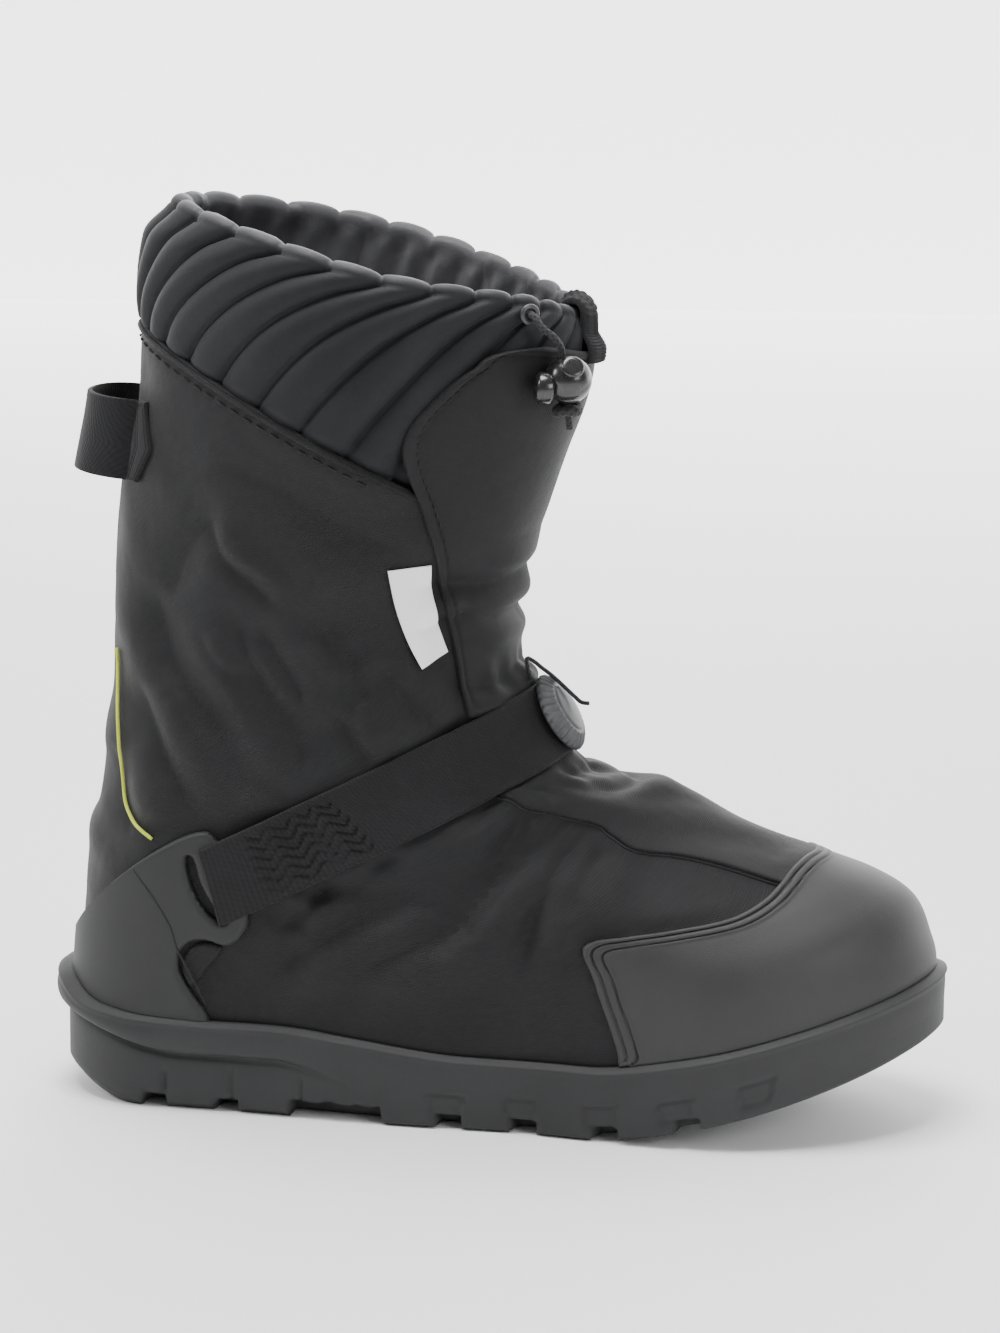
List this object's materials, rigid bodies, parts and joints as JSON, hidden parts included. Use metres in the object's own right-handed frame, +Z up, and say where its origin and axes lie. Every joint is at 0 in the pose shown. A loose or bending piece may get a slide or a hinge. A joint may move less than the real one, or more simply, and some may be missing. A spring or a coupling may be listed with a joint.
{
  "type": "winter overshoe",
  "caption": "Insulated winter overshoe for the right foot with lugged rubber sole, rubber toe cap and heel counter, nylon shaft, quilted collar, instep strap with buckle, pull loop and drawcord with lock.",
  "frame": {"origin": "on the ground under the middle of the heel, on the heel's flat lug", "axes": "+X points to the toe, +Z up, -Y to the outer side of the right foot"},
  "size_m": [0.348, 0.1169, 0.3464],
  "materials": {
    "sole_rubber": "matte moulded rubber",
    "cap_rubber": "fine pebbled rubber sheet",
    "foam": "felted foam sheet",
    "nylon": "coated woven nylon",
    "quilted_nylon": "quilted soft nylon",
    "webbing": "ribbed woven webbing",
    "grey_plastic": "moulded plastic",
    "black_plastic": "glossy moulded plastic",
    "cord": "braided elastic cord",
    "white_label": "printed white label fabric",
    "yellow_piping": "yellow green piping"
  },
  "bodies": {
    "root": {"outsole": "sole_rubber", "insole": "foam", "upper": "nylon", "collar": "quilted_nylon", "toe_cap": "cap_rubber", "heel_counter": "sole_rubber", "rear_trim_outer": "nylon", "rear_trim_inner": "nylon", "front_flap": "nylon", "instep_strap": "webbing", "side_label": "white_label", "pull_loop": "webbing", "hook_tab": "webbing", "piping_outer": "yellow_piping", "piping_inner": "yellow_piping", "strap_buckle": "grey_plastic", "buckle_cord": "cord", "drawcord_eyelet": "black_plastic", "drawcord": "cord", "cord_lock": "black_plastic", "lock_button": "black_plastic", "drawcord_knot": "cord"}
  },
  "joints": []
}
